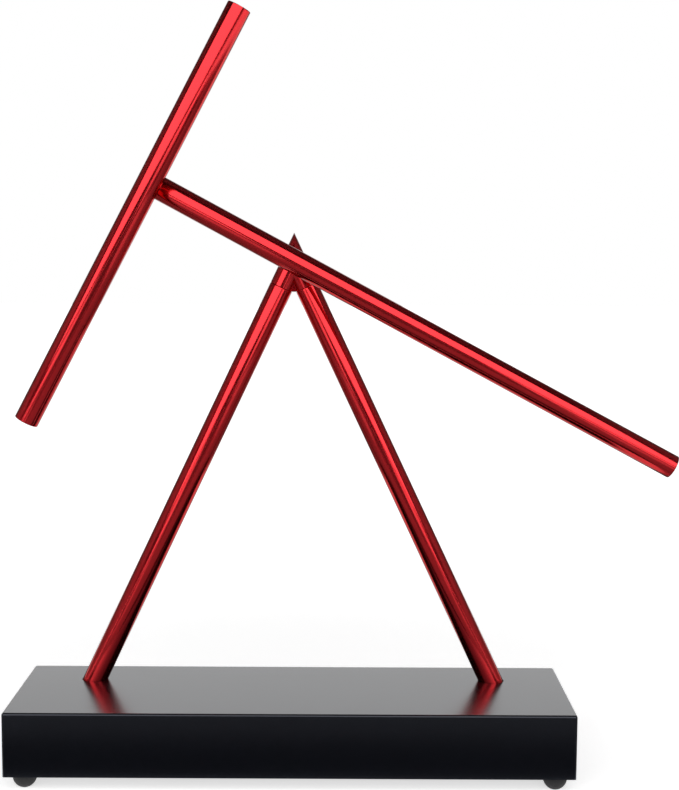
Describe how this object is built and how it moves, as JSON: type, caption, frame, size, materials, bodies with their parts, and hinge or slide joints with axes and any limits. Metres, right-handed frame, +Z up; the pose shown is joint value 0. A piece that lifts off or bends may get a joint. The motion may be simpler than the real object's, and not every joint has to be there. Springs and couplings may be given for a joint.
{
  "type": "kinetic double pendulum sculpture",
  "caption": "Desk sculpture: a tubular A-frame on a black box base carries a long arm that turns freely and a shorter arm that turns on its end.",
  "frame": {"origin": "on the surface that the feet stand on, under the middle of the base", "axes": "+X right along the base, +Y towards the back, +Z up; every pivot axis is parallel to Y"},
  "size_m": [0.3339, 0.085, 0.3817],
  "materials": {
    "black_lacquer": "satin",
    "black_plastic": "matte",
    "black_rubber": "matte",
    "red_anodised": "polished",
    "bare_aluminium": "satin",
    "bearing_steel": "polished",
    "shaft_steel": "satin",
    "black_steel": "satin",
    "nickel_plate": "satin",
    "magnet_nickel": "polished",
    "cell_sleeve": "satin",
    "board_green": "gloss",
    "white_nylon": "matte",
    "copper_wire": "gloss",
    "capacitor_sleeve": "gloss",
    "chip_black": "matte",
    "resistor_body": "satin",
    "red_insulation": "gloss",
    "black_insulation": "gloss"
  },
  "bodies": {
    "base": {"base_shell": "black_lacquer", "bottom_plate": "black_plastic", "plate_screws": "black_steel", "rubber_feet": "black_rubber", "battery_box": "black_plastic", "battery_cells": "cell_sleeve", "contact_plates": "nickel_plate", "contact_springs": "nickel_plate", "circuit_board": "board_green", "board_spacers": "white_nylon", "board_screws": "shaft_steel", "coil_bobbin": "white_nylon", "sense_winding": "copper_wire", "drive_winding": "copper_wire", "coil_pins": "nickel_plate", "storage_capacitor": "capacitor_sleeve", "driver_chip": "chip_black", "drive_transistor": "chip_black", "resistors": "resistor_body", "positive_lead": "red_insulation", "negative_lead": "black_insulation", "left_leg_tube": "red_anodised", "right_leg_tube": "red_anodised", "leg_plugs": "bare_aluminium", "leg_bolts": "black_steel", "leg_washers": "shaft_steel", "apex_connector": "red_anodised", "main_outer_races": "bearing_steel", "main_balls": "bearing_steel"},
    "battery_cover": {"battery_door": "black_plastic"},
    "long_arm": {"long_arm_tube": "red_anodised", "long_arm_hub": "bare_aluminium", "long_arm_tip_plug": "red_anodised", "drive_magnet": "magnet_nickel", "magnet_cup": "black_plastic", "bearing_block": "red_anodised", "short_outer_races": "bearing_steel", "short_balls": "bearing_steel", "main_shaft": "shaft_steel", "main_sleeve": "bare_aluminium", "main_inner_races": "bearing_steel", "main_race_spacer": "bare_aluminium", "main_shim": "shaft_steel", "main_clip": "black_steel"},
    "short_arm": {"short_arm_tube": "red_anodised", "short_arm_hub": "bare_aluminium", "short_arm_plugs": "red_anodised", "short_shaft": "shaft_steel", "short_sleeve": "bare_aluminium", "short_inner_races": "bearing_steel", "short_race_spacer": "bare_aluminium", "short_shim": "shaft_steel", "short_clip": "black_steel"}
  },
  "joints": [
    {"name": "main_pivot", "type": "hinge", "parent": "base", "child": "long_arm", "pos_m": [0, -0.005, 0.2586], "axis": [0, 1, 0], "continuous": true},
    {"name": "short_arm_pivot", "type": "hinge", "parent": "long_arm", "child": "short_arm", "pos_m": [-0.06903, -0.0225, 0.29557], "axis": [0, 1, 0], "continuous": true},
    {"name": "battery_door_hinge", "type": "hinge", "parent": "base", "child": "battery_cover", "pos_m": [-0.057, 0.031, 0.0085], "axis": [1, 0, 0], "range_deg": [0, 85]}
  ]
}
